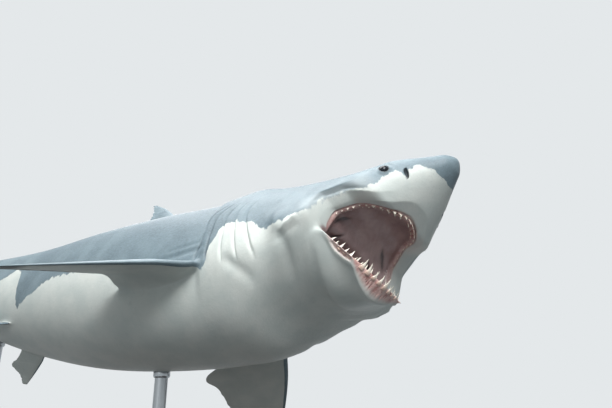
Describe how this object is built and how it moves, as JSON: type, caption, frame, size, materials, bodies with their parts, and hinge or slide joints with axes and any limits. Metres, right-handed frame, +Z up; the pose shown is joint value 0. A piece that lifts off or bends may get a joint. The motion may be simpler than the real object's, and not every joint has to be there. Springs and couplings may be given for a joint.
{
  "type": "great white shark display model",
  "caption": "Life-size great white shark, banking with its head raised and mouth open, on a flat base with two rods.",
  "frame": {"origin": "centre of the base's underside", "axes": "+Z up, +X the way the shark's trunk points, +Y to the shark's left"},
  "size_m": [4.1297, 1.7557, 2.0384],
  "materials": {
    "skin": "slate grey skin above, white below, faint satin",
    "jaw": "white skin, pink gums and ivory teeth",
    "fin": "slate grey skin, satin",
    "eye": "glossy near black",
    "base": "dark matt lacquer over wood board",
    "rod": "brushed"
  },
  "bodies": {
    "root": {"head": "skin", "lower_jaw": "jaw", "gill_region": "skin", "trunk_front": "skin", "trunk_rear": "skin", "tail_stock": "skin", "caudal_upper": "fin", "caudal_lower": "fin", "first_dorsal": "fin", "second_dorsal": "fin", "anal_fin": "fin", "pectoral_left": "fin", "pectoral_right": "fin", "pelvic_left": "fin", "pelvic_right": "fin", "eye_left": "eye", "eye_right": "eye", "stand_base": "base", "stand_rod_front": "rod", "stand_rod_rear": "rod"}
  },
  "joints": []
}
